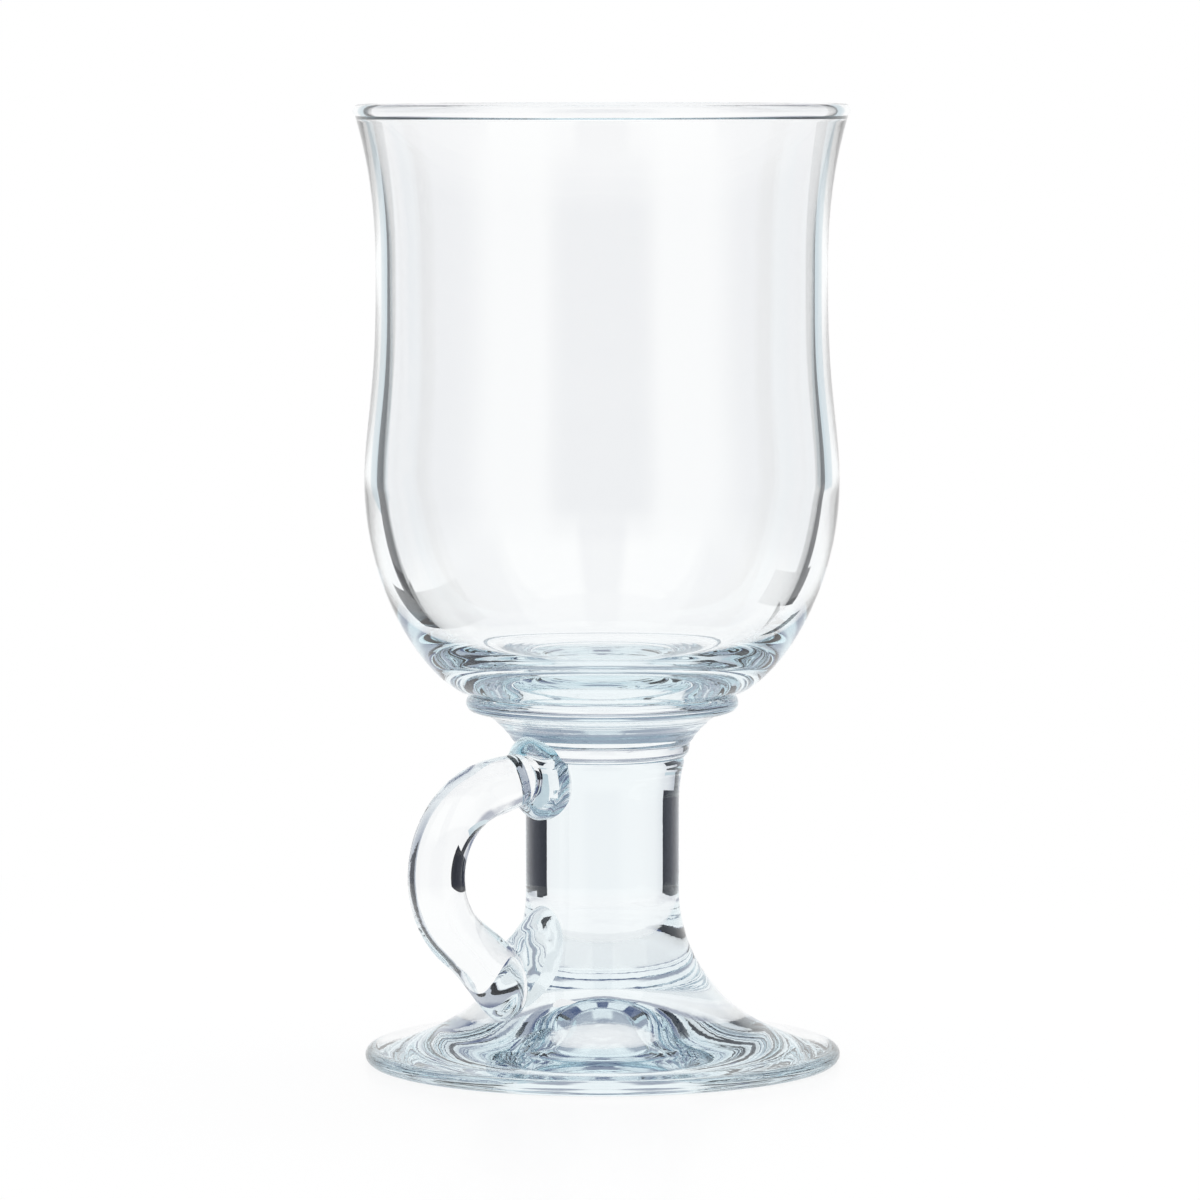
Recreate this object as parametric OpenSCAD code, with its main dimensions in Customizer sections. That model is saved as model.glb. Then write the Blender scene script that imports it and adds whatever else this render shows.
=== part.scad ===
// Handled Irish coffee glass: a footed glass mug with a blown bowl on a stepped collar, a short solid
// stem, a flared foot with a hollow under it, and a round-rod handle on the stem.
// The glass stands on the plane z = 0 with its axis on Z, and the handle points along +Y.

/* [Bowl] */
// Height of the bowl, from its seat on the collar to the rim
bowl_h = 89.5; // [80:0.5:100]
// Diameter across the rim, outside its lip
mouth_d = 75.3; // [72:0.1:82]
// Outer diameter at the waist, the narrowest place under the rim
waist_d = 68.5; // [64:0.1:71]
// Outer diameter at the belly, the widest place low on the bowl
belly_d = 72.2; // [66:0.1:80]
// Diameter of the flat under the bowl that is fused to the collar
seat_d = 40.6; // [37:0.1:41]
// Height of the waist above the seat
waist_rise = 64.5; // [56:0.5:72]
// Height of the belly above the seat
belly_rise = 32; // [27:0.5:38]
// Diameter of the rounded lip
lip_d = 2.1; // [1.9:0.1:2.6]
// Thickness of the wall just under the lip
lip_wall_t = 1.3; // [1:0.1:1.7]
// Thickness of the wall at the waist
wall_t = 2.1; // [1.7:0.1:2.6]
// Thickness of the wall at the belly
belly_wall_t = 2.8; // [2:0.1:4]
// Thickness of the glass under the inner floor
floor_t = 4.5; // [3:0.1:8]

/* [Collar] */
// Diameter of the rounded ring under the bowl
ring_d = 41.5; // [41.1:0.1:46]
// Height of that ring
ring_h = 2.7; // [2:0.1:4]
// Height of the hollow sweep under the ring
cove_h = 4.8; // [3:0.1:6]
// Height of the plain band at the collar's foot
band_h = 2.2; // [1.5:0.1:4]
// Diameter of the band where the cove starts
band_d = 26.7; // [26.4:0.1:31]
// Amount by which the band draws in towards its lower edge, on the radius
band_draw = 0.45; // [0.2:0.05:0.6]

/* [Stem] */
// Diameter of the solid stem
stem_d = 23.4; // [20:0.1:25]
// Height of the stem between foot and collar
stem_h = 20.8; // [19:0.1:30]
// Diameter of the stem's flared top, under the collar
stem_top_d = 25.4; // [25.1:0.1:25.7]
// Length of the stem's flared top
stem_top_h = 7; // [4:0.5:10]

/* [Foot] */
// Diameter of the foot
foot_d = 72.6; // [66:0.1:82]
// Height of the foot, from the table to the end of its flare
foot_h = 26; // [22:0.5:30]
// Thickness of the rounded edge of the foot
edge_t = 2.4; // [1.8:0.1:4]
// Width of the flat ring that the glass stands on
rest_ring_w = 3; // [2:0.1:5]
// Distance from the foot's outer edge in to that ring
rest_ring_inset = 2.2; // [1.5:0.1:4]
// Rise of the hollow's skirt, from the ring to the axis
skirt_rise = 1.6; // [0.8:0.1:2.2]
// Diameter of the kick, the bell-shaped hollow in the middle
kick_d = 46; // [30:0.5:52]
// Height of the kick above the skirt
kick_h = 6.4; // [4:0.1:10]

/* [Handle] */
// Diameter of the handle's rod
rod_d = 8.6; // [7:0.1:10]
// Diameter of the rod's drawn upper end
rod_end_d = 7.6; // [6.5:0.1:8.6]
// Reach of the handle from the glass's axis
handle_reach = 36.7; // [34:0.1:44]
// Radius of the rod's bend, on its centre line
bend_r = 12.9; // [11:0.1:14]
// Drop of the bend's top under the collar, on the rod's centre line
upper_drop = 3.1; // [2:0.1:5]
// Upward lean of the rod's upper end towards the stem, in degrees
upper_lean = 11; // [0:1:20]
// Downward lean of the rod's lower end towards the foot, in degrees
lower_lean = 36; // [25:1:45]
// Distance from the upper end of the rod to the stem
upper_pad_l = 5; // [3:0.1:7]
// Radius of the upper pad where it meets the stem
upper_pad_r = 6; // [5:0.1:7.5]
// Distance from the lower end of the rod to the flare of the foot
lower_pad_l = 3.8; // [3.6:0.1:5]
// Radius of the lower pad, along its tongue up the stem
lower_pad_r = 5.2; // [4.8:0.1:5.3]
// Drop from the stem's lower end to the centre of the tongue's round top
tongue_drop = 4.8; // [3:0.1:7]
// Depth of that centre in the stem
tongue_inset = 1.8; // [0.5:0.1:2.2]

/* [Hidden] */
$fn = 96;
glass_tint = [0.86, 0.93, 0.94];

// Steps along a long curved stretch of an outline, and along a short one
steps = 24;
short_steps = 8;

// Exponents of the curves. They are pure numbers, so the curves keep their form at any size.
flare_low_share = 0.6;
flare_high_share = 1.8;
belly_low_share = 1.9;
belly_high_share = 0.67;
cup_low_share = 1.45;
cup_high_share = 0.2;
neck_fall_share = 4.8;
mouth_curve_share = 2.2;
cove_curve_share = 0.55;

// Radii and heights worked out from the sizes above
mouth_r = mouth_d / 2;
waist_r = waist_d / 2;
belly_r = belly_d / 2;
seat_r = seat_d / 2;
ring_r = ring_d / 2;
ring_core_r = ring_r - ring_h / 2;
band_r = band_d / 2;
stem_r = stem_d / 2;
stem_top_r = stem_top_d / 2;
foot_r = foot_d / 2;
kick_r = kick_d / 2;
rod_r = rod_d / 2;
rod_end_r = rod_end_d / 2;
edge_r = foot_r - edge_t / 4;
rest_out_r = foot_r - rest_ring_inset;
rest_in_r = rest_out_r - rest_ring_w;
lip_r = lip_d / 2;
stem_z = foot_h;
collar_z = stem_z + stem_h;
cove_z = collar_z + band_h;
seat_z = cove_z + cove_h + ring_h;
belly_z = seat_z + belly_rise;
waist_z = seat_z + waist_rise;
rim_z = seat_z + bowl_h;
lip_z = rim_z - lip_r;
floor_z = seat_z + floor_t;
// Angle under level at which the lip's round meets the thinner wall, and where the wall ends there
lip_fall = acos(lip_wall_t / lip_d);
throat_r = mouth_r - lip_r + lip_wall_t / 2;
throat_z = lip_z - lip_r * sin(lip_fall);

// Shares from 0 to 1 in even steps
function ramp(n = steps) = [for (i = [0:n]) i / n];

// A round stretch of an outline: centre, radius, first and last angle
function arc(c, r, a0, a1) =
    [for (t = ramp(short_steps)) c + r * [cos(a0 + (a1 - a0) * t), sin(a0 + (a1 - a0) * t)]];

// Bowl, outside: the body under the belly, the draw to the waist, and the opening mouth
function body_r(t) = seat_r + (belly_r - seat_r) * pow(1 - pow(t, belly_low_share), belly_high_share);
function neck_bell(t) = exp(-neck_fall_share * t * t);
function neck_r(t) = waist_r + (belly_r - waist_r) * (neck_bell(t) - neck_bell(1)) / (1 - neck_bell(1));
function mouth_out_r(t) = waist_r + (throat_r - waist_r) * pow(t, mouth_curve_share);
function bowl_outside() = concat(
    [for (t = ramp()) [body_r(1 - t), seat_z + belly_rise * t]],
    [for (t = ramp()) if (t > 0) [neck_r(t), belly_z + (waist_z - belly_z) * t]],
    [for (t = ramp()) if (t > 0 && t < 1) [mouth_out_r(t), waist_z + (throat_z - waist_z) * t]]
);

// Bowl, inside, from the lip down to the middle of the floor
function neck_wall(t) = belly_wall_t + (wall_t - belly_wall_t) * (1 - cos(180 * t)) / 2;
function mouth_wall(t) = wall_t + (lip_wall_t - wall_t) * t * t;
function cup_r(t) = (belly_r - belly_wall_t) * pow(1 - pow(t, cup_low_share), cup_high_share);
function bowl_inside() = concat(
    [for (t = ramp()) if (t > 0 && t < 1)
        [mouth_out_r(1 - t) - mouth_wall(1 - t), throat_z - (throat_z - waist_z) * t]],
    [for (t = ramp()) if (t < 1) [neck_r(1 - t) - neck_wall(1 - t), waist_z - (waist_z - belly_z) * t]],
    [for (t = ramp()) [cup_r(sin(90 * t)), belly_z - (belly_z - floor_z) * sin(90 * t)]]
);

// Collar: the radius of the cove at a share of its height
function cove_r(s) = band_r + (ring_core_r - band_r) * (1 - pow(1 - s, cove_curve_share));

// Foot: the flare's radius at a height, and the height of the hollow's surface at a radius
function flare_share(z) = (z - edge_t) / (foot_h - edge_t);
function flare_curve(s) = pow(1 - pow(s, flare_low_share), flare_high_share);
function flare_r(z) =
    z <= edge_t ? edge_r : z >= foot_h ? stem_r : stem_r + (edge_r - stem_r) * flare_curve(flare_share(z));
function under_z(r) = skirt_rise * (1 - r / rest_in_r) + (r < kick_r ? kick_h * (1 + cos(180 * r / kick_r)) / 2 : 0);

// Depth under the flare at which the root and the tongue of the lower pad meet
pad_sink = 2.4;
// Each leg is a hair thinner than the bend and starts a little inside it, so the three fuse cleanly.
// The root of the lower pad is thinner than its tongue by the same hair.
leg_step = 0.02;
leg_in = 0.3;

// Handle: its centre line lies in the plane of Y and Z. Points here are [distance from axis, height].
bend_c = [handle_reach - rod_r - bend_r, collar_z - upper_drop - bend_r];
upper_leg_start = bend_c + bend_r * [sin(upper_lean), cos(upper_lean)];
lower_leg_start = bend_c + bend_r * [sin(lower_lean), -cos(lower_lean)];
function lower_leg_at(s) = lower_leg_start - s * [cos(lower_lean), sin(lower_lean)];
// Length of the lower leg to the flare, found by halving the stretch that holds the crossing
function leg_hit(lo, hi, n) =
    n == 0 ? lo
    : let (m = (lo + hi) / 2, p = lower_leg_at(m))
      p[0] > flare_r(p[1]) ? leg_hit(m, hi, n - 1) : leg_hit(lo, m, n - 1);
// The upper pad takes its length from the way to the stem, and the rod's upper leg takes the rest.
// A short reach leaves the leg only its seat in the bend, and the pad then bridges what is left.
upper_way_l = (upper_leg_start[0] - stem_r) / cos(upper_lean);
upper_leg_l = max(leg_in, upper_way_l - upper_pad_l / cos(upper_lean));
upper_root_l = upper_way_l - upper_leg_l;
lower_hit_l = leg_hit(0, foot_r, steps);
lower_leg_l = lower_hit_l - lower_pad_l;
upper_end = upper_leg_start - upper_leg_l * [cos(upper_lean), -sin(upper_lean)];
lower_end = lower_leg_at(lower_leg_l);
tongue_top = [stem_r - tongue_inset, stem_z - tongue_drop];
tongue_foot = lower_leg_at(lower_hit_l + pad_sink);
tongue_lean = atan2(tongue_top[1] - tongue_foot[1], tongue_foot[0] - tongue_top[0]);

// Puts a shape drawn along Z at a point of the handle's plane, pointing towards the stem.
// A lean above 0 points it upwards.
module on_handle(p, lean) {
    translate([0, p[0], p[1]])
        rotate([90 - lean, 0, 0])
            children();
}

// The stem and the foot without the hollow, as one shape that the pads are seated on
module stem_shape() {
    rotate_extrude()
        polygon(concat(
            [[0, stem_z], [stem_r, stem_z]],
            [for (t = ramp(short_steps)) [stem_r + (stem_top_r - stem_r) * t * t, collar_z - stem_top_h * (1 - t)]],
            [[0, collar_z]]
        ));
}

function foot_outside() = concat(
    arc([foot_r - edge_t / 2, edge_t / 2], edge_t / 2, -60, 60),
    [for (t = ramp()) if (t > 0) let (z = edge_t + (foot_h - edge_t) * t * t) [flare_r(z), z]]
);

module foot_shape() {
    rotate_extrude()
        polygon(concat([[0, 0], [rest_out_r, 0]], foot_outside(), [[0, foot_h]]));
}

module collar_shape() {
    rotate_extrude()
        polygon(concat(
            [[0, collar_z]],
            [for (t = ramp(short_steps)) [band_r - band_draw * (1 - t) * (1 - t), collar_z + band_h * t]],
            [for (t = ramp(short_steps)) if (t > 0 && t < 1) [cove_r(t * (2 - t)), cove_z + cove_h * t * (2 - t)]],
            arc([ring_core_r, seat_z - ring_h / 2], ring_h / 2, -90, 60),
            [[seat_r, seat_z], [0, seat_z]]
        ));
}

// Blown bowl with a rounded lip and a thick floor
module bowl() {
    color(glass_tint)
        rotate_extrude()
            polygon(concat(
                [[0, seat_z]],
                bowl_outside(),
                arc([mouth_r - lip_r, lip_z], lip_r, -lip_fall, 85),
                arc([mouth_r - lip_r, lip_z], lip_r, 95, 180 + lip_fall),
                bowl_inside()
            ));
}

// Stepped collar between the bowl and the stem
module collar() {
    color(glass_tint)
        collar_shape();
}

// Solid stem
module stem() {
    color(glass_tint)
        stem_shape();
}

// Flared foot with a flat rest ring and the kick under it
module foot() {
    color(glass_tint)
        rotate_extrude()
            polygon(concat(
                [[rest_in_r, 0], [rest_out_r, 0]],
                foot_outside(),
                [[0, foot_h]],
                [for (t = ramp()) [rest_in_r * t, under_z(rest_in_r * t)]]
            ));
}

// Round rod, bent, with a straight leg at each end
module handle() {
    color(glass_tint)
        union() {
            translate([0, bend_c[0], bend_c[1]])
                rotate([90, 0, -90])
                    rotate([0, 0, 90 + upper_lean])
                        rotate_extrude(angle = 180 - upper_lean - lower_lean)
                            translate([bend_r, 0])
                                circle(r = rod_r);
            on_handle(upper_leg_start, upper_lean)
                translate([0, 0, -leg_in])
                    cylinder(h = upper_leg_l + leg_in, r1 = rod_r - leg_step, r2 = rod_end_r);
            on_handle(lower_leg_start, -lower_lean)
                translate([0, 0, -leg_in])
                    cylinder(h = lower_leg_l + leg_in, r = rod_r - leg_step);
        }
}

// Soft round root of a pad: it starts at the rod's end and swells to the pad's radius
module pad_root(r0, r1, swell_l, l) {
    rotate_extrude()
        polygon(concat(
            [[0, 0]],
            [for (t = ramp(short_steps)) [r0 + (r1 - r0) * sin(90 * t), swell_l * t]],
            [[r1, l], [0, l]]
        ));
}

// Tongue of glass with round ends, from one centre to the other, drawn along Z
module tongue(r, l) {
    rotate_extrude()
        polygon(concat(arc([0, 0], r, -90, 0), arc([0, l], r, 0, 90)));
}

// Pad of glass that joins the upper end of the rod to the stem, close under the collar
module upper_handle_pad() {
    color(glass_tint)
        difference() {
            on_handle(upper_end, upper_lean)
                pad_root(rod_end_r, upper_pad_r, upper_root_l, upper_root_l + stem_r / 2);
            stem_shape();
            collar_shape();
        }
}

// Pad of glass that joins the lower end of the rod to the flare, with a tongue up to the stem
module lower_handle_pad() {
    color(glass_tint)
        difference() {
            union() {
                on_handle(lower_end, -lower_lean)
                    pad_root(rod_r, lower_pad_r - leg_step, lower_pad_l, lower_pad_l + pad_sink);
                on_handle(tongue_foot, tongue_lean)
                    tongue(lower_pad_r, norm(tongue_top - tongue_foot));
            }
            stem_shape();
            foot_shape();
        }
}

bowl();
collar();
stem();
foot();
handle();
upper_handle_pad();
lower_handle_pad();
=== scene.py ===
"""Studio scene of a handled Irish coffee glass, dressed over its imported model.

The glass is seven gathers of clear glass, fused hot. Each gather is modelled here as its own closed
piece. Where two gathers are fused, their faces let light straight through, so that the pieces read
as one body of glass, with the seams that a hand-made glass has.

Fields hold lengths in metres and angles in degrees. In a name, _r stands for a radius, _z for a
height above the table, _h and _rise for a height above a form's own base, _t for a thickness, _w for
a width, and _steps for the number of steps that a stretch is modelled with.
"""
import logging
import math
from collections.abc import Callable, Sequence
from dataclasses import dataclass
from enum import Enum

import bpy
from mathutils import Matrix, Vector, noise
from mathutils.bvhtree import BVHTree


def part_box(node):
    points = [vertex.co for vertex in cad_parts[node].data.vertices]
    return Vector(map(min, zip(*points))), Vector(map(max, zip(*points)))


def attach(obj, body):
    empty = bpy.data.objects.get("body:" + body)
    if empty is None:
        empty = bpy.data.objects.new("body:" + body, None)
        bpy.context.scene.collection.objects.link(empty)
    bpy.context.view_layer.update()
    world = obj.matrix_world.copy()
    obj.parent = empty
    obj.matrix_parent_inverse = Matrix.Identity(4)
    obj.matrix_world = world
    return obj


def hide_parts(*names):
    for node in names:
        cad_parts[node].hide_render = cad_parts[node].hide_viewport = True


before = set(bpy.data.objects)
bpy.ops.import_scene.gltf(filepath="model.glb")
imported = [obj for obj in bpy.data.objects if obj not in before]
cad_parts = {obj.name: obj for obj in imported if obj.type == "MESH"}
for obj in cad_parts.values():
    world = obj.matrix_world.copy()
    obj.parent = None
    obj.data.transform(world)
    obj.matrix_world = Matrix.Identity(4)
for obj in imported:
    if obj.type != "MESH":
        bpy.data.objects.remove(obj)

LOG = logging.getLogger("glass")
MM = 0.001
TURN = 2 * math.pi
# Along the glass's axis, from the axis to the handle, and across both
UP = Vector((0, 0, 1))
OUT = Vector((0, 1, 0))
SIDE = Vector((1, 0, 0))
# Two points nearer than this are one
TOUCH = 0.001 * MM
# Edges sharper than this angle stay sharp
SHARP = 38
# Gap between two fused faces, too thin to see
SEAM = 0.005 * MM
# Greatest distance from a seat at which a face still counts as fused to it
FUSED_REACH = 0.012 * MM
# Distance outside a pad beyond which a point counts as far from it
PAD_REACH = 3 * MM
# Attributes that tell the material where a piece is fused to its neighbours
FUSED = "fused"
SEAT_DEPTH = "seat_depth"

Pair = tuple[float, float]
# Distance from the axis and height above the table
Point = Pair
Colour = tuple[float, float, float]


def heading(lean: float) -> Vector:
    """Direction from the handle towards the stem, leaning up by an angle."""
    return math.sin(math.radians(lean)) * UP - math.cos(math.radians(lean)) * OUT


def shares(count: int) -> list[float]:
    """Even steps from 0 to 1, both included."""
    return [i / count for i in range(count + 1)]


def bunched(steps: list[float]) -> list[float]:
    """Moves steps closer together towards 1."""
    return [s * (2 - s) for s in steps]


def eased(share: float) -> float:
    """Turns a share into one that leaves 0 and reaches 1 smoothly."""
    return share * share * (3 - 2 * share)


def arc(centre: Point, radius: float, start: float, stop: float, count: int) -> list[Point]:
    """Points along a round stretch of an outline.

    Args:
        centre: Distance from the axis and height of the arc's centre.
        radius: Radius of the arc.
        start: First angle, 0 pointing away from the axis.
        stop: Last angle.
        count: How many steps the arc has.

    Returns:
        The points, ends included.
    """
    angles = [math.radians(start + (stop - start) * s) for s in shares(count)]
    return [(centre[0] + radius * math.cos(a), centre[1] + radius * math.sin(a)) for a in angles]


def deselect() -> None:
    """Leaves no object selected."""
    bpy.ops.object.select_all(action="DESELECT")


def take(piece: bpy.types.Object) -> None:
    """Makes one object the only selected and active one.

    Args:
        piece: The object.
    """
    deselect()
    piece.select_set(True)
    bpy.context.view_layer.objects.active = piece


def edit(mode: str = "VERT") -> None:
    """Enters edit mode with everything selected.

    Args:
        mode: What is selected, as Blender names it.
    """
    bpy.ops.object.mode_set(mode="EDIT")
    bpy.ops.mesh.select_mode(type=mode)
    bpy.ops.mesh.select_all(action="SELECT")


def close_up(piece: bpy.types.Object) -> None:
    """Merges doubled points and turns every face outwards.

    Args:
        piece: The piece.
    """
    take(piece)
    edit()
    bpy.ops.mesh.remove_doubles(threshold=TOUCH)
    bpy.ops.mesh.normals_make_consistent(inside=False)
    bpy.ops.object.mode_set(mode="OBJECT")


def outline_chain(name: str, points: list[Point]) -> bpy.types.Object:
    """Draws an outline as a chain of edges, point by point.

    Args:
        name: Name of the new object.
        points: The outline.

    Returns:
        The object, whose last point is selected.
    """
    deselect()
    bpy.ops.mesh.primitive_plane_add(size=1 * MM, location=(0, 0, 0))
    piece = bpy.context.object
    piece.name = piece.data.name = name
    edit()
    bpy.ops.mesh.merge(type="CENTER")
    bpy.ops.transform.translate(value=(points[0][0], 0, points[0][1]))
    for (r0, z0), (r1, z1) in zip(points, points[1:]):
        bpy.ops.mesh.extrude_region_move(TRANSFORM_OT_translate={"value": (r1 - r0, 0, z1 - z0)})
    bpy.ops.object.mode_set(mode="OBJECT")
    return piece


def turned(name: str, points: list[Point], steps: int) -> bpy.types.Object:
    """Turns an outline that starts and ends on the axis into a closed solid.

    Args:
        name: Name of the new object.
        points: The outline.
        steps: How many steps there are in one full turn.

    Returns:
        The closed object.
    """
    piece = outline_chain(name, points)
    edit()
    bpy.ops.mesh.spin(steps=steps, angle=TURN, center=(0, 0, 0), axis=(0, 0, 1))
    bpy.ops.object.mode_set(mode="OBJECT")
    close_up(piece)
    return piece


def smooth(piece: bpy.types.Object, angle: float = SHARP) -> None:
    """Shades a piece smooth, but for edges sharper than an angle."""
    take(piece)
    bpy.ops.object.shade_smooth_by_angle(angle=math.radians(angle))


def cut(piece: bpy.types.Object, tool: bpy.types.Object) -> None:
    """Cuts one object by another and deletes the tool.

    Args:
        piece: What is cut.
        tool: What cuts it.
    """
    take(piece)
    modifier = piece.modifiers.new("cut", "BOOLEAN")
    modifier.operation, modifier.object, modifier.solver = "DIFFERENCE", tool, "EXACT"
    bpy.ops.object.modifier_apply(modifier=modifier.name)
    bpy.data.objects.remove(tool)


def mark_fused(piece: bpy.types.Object, test: Callable[[Vector], bool]) -> None:
    """Marks the faces at which a piece is fused to its neighbours.

    Args:
        piece: The piece.
        test: Says of a point whether it lies on a seat.
    """
    mesh = piece.data
    marked = [all(test(mesh.vertices[v].co) for v in face.vertices) for face in mesh.polygons]
    layer = mesh.attributes.new(FUSED, "FLOAT", "FACE")
    layer.data.foreach_set("value", [float(m) for m in marked])


def mark_seats(piece: bpy.types.Object, pads: Sequence[BVHTree]) -> None:
    """Stores at each point of a piece how deep, in mm, it lies in the pads that are fused to it.

    Args:
        piece: The piece that carries the pads.
        pads: The pads' whole surfaces, as they were before they were cut to their seats.
    """
    depths = [-PAD_REACH] * len(piece.data.vertices)
    for pad in pads:
        for i, vertex in enumerate(piece.data.vertices):
            near, normal, _, distance = pad.find_nearest(vertex.co, PAD_REACH)
            if near is not None:
                inside = (vertex.co - near).dot(normal) < 0
                depths[i] = max(depths[i], distance if inside else -distance)
    layer = piece.data.attributes.new(SEAT_DEPTH, "FLOAT", "POINT")
    layer.data.foreach_set("value", [d / MM for d in depths])


class Value:
    """A number in a shader, on which Python's operators add Math nodes."""

    def __init__(self, maker: "NodeMaker", source: "bpy.types.NodeSocket | float") -> None:
        """Wraps a socket or a plain number."""
        self.maker, self.source = maker, source

    def _math(self, operation: str, *others: "Value | float") -> "Value":
        """Adds one Math node on this value and others."""
        inputs = dict(enumerate((self, *others)))
        return self.maker.value("ShaderNodeMath", {"operation": operation}, inputs)

    def __add__(self, other: "Value | float") -> "Value":
        """Sum."""
        return self._math("ADD", other)

    __radd__ = __add__

    def __mul__(self, other: "Value | float") -> "Value":
        """Product."""
        return self._math("MULTIPLY", other)

    __rmul__ = __mul__

    def __sub__(self, other: "Value | float") -> "Value":
        """Difference."""
        return self._math("SUBTRACT", other)

    def __rsub__(self, other: float) -> "Value":
        """Difference from a number."""
        return Value(self.maker, other)._math("SUBTRACT", self)

    def __truediv__(self, other: "Value | float") -> "Value":
        """Quotient."""
        return self._math("DIVIDE", other)

    def __gt__(self, other: "Value | float") -> "Value":
        """1 where this is more than the other, else 0."""
        return self._math("GREATER_THAN", other)

    def squared(self) -> "Value":
        """This value times itself."""
        return self * self

    def root(self) -> "Value":
        """Square root."""
        return self._math("SQRT")

    def either(self, other: "Value | float") -> "Value":
        """The larger of two values."""
        return self._math("MAXIMUM", other)


class NodeMaker:
    """Adds nodes to one material or world."""

    def __init__(self, owner: "bpy.types.Material | bpy.types.World") -> None:
        """Starts with an empty node tree.

        Args:
            owner: The material or world.
        """
        owner.use_nodes = True
        self.tree = owner.node_tree
        self.tree.nodes.clear()

    def add(
        self, kind: str, settings: dict | None = None, inputs: dict | None = None
    ) -> bpy.types.Node:
        """Adds one node.

        Args:
            kind: The node's type.
            settings: Its properties, set before its sockets.
            inputs: Values, sockets or Value objects by socket name or number.

        Returns:
            The node.
        """
        node = self.tree.nodes.new(kind)
        for key, setting in (settings or {}).items():
            if key == "stops":
                self._stops(node.color_ramp, setting)
            else:
                setattr(node, key, setting)
        for key, given in (inputs or {}).items():
            source = given.source if isinstance(given, Value) else given
            if isinstance(source, bpy.types.NodeSocket):
                self.tree.links.new(source, node.inputs[key])
            else:
                node.inputs[key].default_value = source
        return node

    @staticmethod
    def _stops(ramp: bpy.types.ColorRamp, stops: list[tuple[float, tuple[float, ...]]]) -> None:
        """Sets a colour ramp's stops.

        Args:
            ramp: The ramp.
            stops: Place and colour of each stop.
        """
        ramp.interpolation = "EASE"
        while len(ramp.elements) < len(stops):
            ramp.elements.new(1)
        for element, (place, colour) in zip(ramp.elements, stops):
            element.position, element.color = place, colour

    def value(
        self,
        kind: str,
        settings: dict | None = None,
        inputs: dict | None = None,
        out: int | str = 0,
    ) -> Value:
        """Adds one node and wraps one of its outputs."""
        return Value(self, self.add(kind, settings, inputs).outputs[out])

    def place(self, kind: str = "Object") -> tuple[Value, Value, Value]:
        """Splits a point's place, or a direction in the world, into three numbers.

        Args:
            kind: The coordinates that are read, as Blender names them.

        Returns:
            Its x, y and z.
        """
        at = self.add("ShaderNodeTexCoord").outputs[kind]
        split = self.add("ShaderNodeSeparateXYZ", inputs={"Vector": at})
        return tuple(Value(self, out) for out in split.outputs)

    def across(
        self, source: Value, zone: Pair, levels: Pair = (0.0, 1.0), way: str = "SMOOTHSTEP"
    ) -> Value:
        """Goes from one level to another as a value crosses a zone.

        Args:
            source: The value.
            zone: Where the change starts and ends.
            levels: The levels before and after the zone.
            way: How the level changes between them, as Blender names it.

        Returns:
            The level.
        """
        inputs = {"Value": source, "From Min": zone[0], "From Max": zone[1]}
        inputs |= {"To Min": levels[0], "To Max": levels[1]}
        return self.value("ShaderNodeMapRange", {"interpolation_type": way}, inputs)


class Texture(Enum):
    """How the surface of a gather of glass was left."""

    BLOWN = "blown"
    PRESSED = "pressed"
    CHILLED = "chilled"
    DRAWN = "drawn"


@dataclass(frozen=True)
class Ripple:
    """One layer of waviness: its bump depth, the size of its waves and how they are stretched."""

    depth: float
    wave: float
    stretch: tuple[float, float, float] = (1, 1, 1)
    detail: float = 1.5
    roughness: float = 0.45


RIPPLES: dict[Texture, tuple[Ripple, ...]] = {
    Texture.BLOWN: (Ripple(0.006 * MM, 14 * MM, (1, 1, 0.35)),),
    Texture.PRESSED: (
        Ripple(0.02 * MM, 6 * MM, (1, 1, 1.6)),
        Ripple(0.004 * MM, 1.2 * MM, (1, 1, 3)),
    ),
    Texture.CHILLED: (Ripple(0.014 * MM, 2.4 * MM), Ripple(0.002 * MM, 0.6 * MM)),
    Texture.DRAWN: (Ripple(0.012 * MM, 5 * MM), Ripple(0.0015 * MM, 0.4 * MM)),
}


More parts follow.
